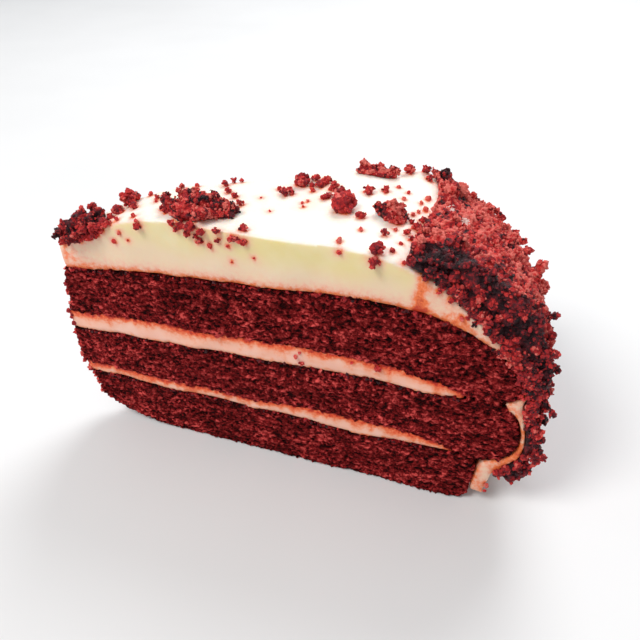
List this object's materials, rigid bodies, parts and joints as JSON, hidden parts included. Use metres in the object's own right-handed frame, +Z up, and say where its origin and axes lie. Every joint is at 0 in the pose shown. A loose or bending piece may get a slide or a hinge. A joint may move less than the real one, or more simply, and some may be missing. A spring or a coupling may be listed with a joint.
{
  "type": "red velvet cake slice",
  "caption": "Wedge of layered red velvet cake with pink cream fillings, thick pale frosting, a crumb-coated rim and loose crumbs on top.",
  "frame": {"origin": "middle of the bounding box, on the plane the slice rests on", "axes": "+X from the tip of the wedge to its crumbed rim, +Y across the wedge from one cut face to the other, +Z up"},
  "size_m": [0.1332, 0.0712, 0.0792],
  "materials": {
    "sponge": "dark maroon open cake crumb, dull",
    "filling": "pinkish cream, soft satin",
    "frosting": "pale cream-cheese frosting, soft satin",
    "crumbs": "dull dark red cake crumbs"
  },
  "bodies": {
    "root": {"sponge_bottom": "sponge", "filling_lower": "filling", "sponge_middle": "sponge", "filling_upper": "filling", "sponge_top": "sponge", "frosting": "frosting", "crumb_coat": "crumbs", "crumb_heap_tip": "crumbs", "crumb_heap_front": "crumbs", "crumb_heap_right": "crumbs", "crumb_heap_far": "crumbs"}
  },
  "joints": []
}
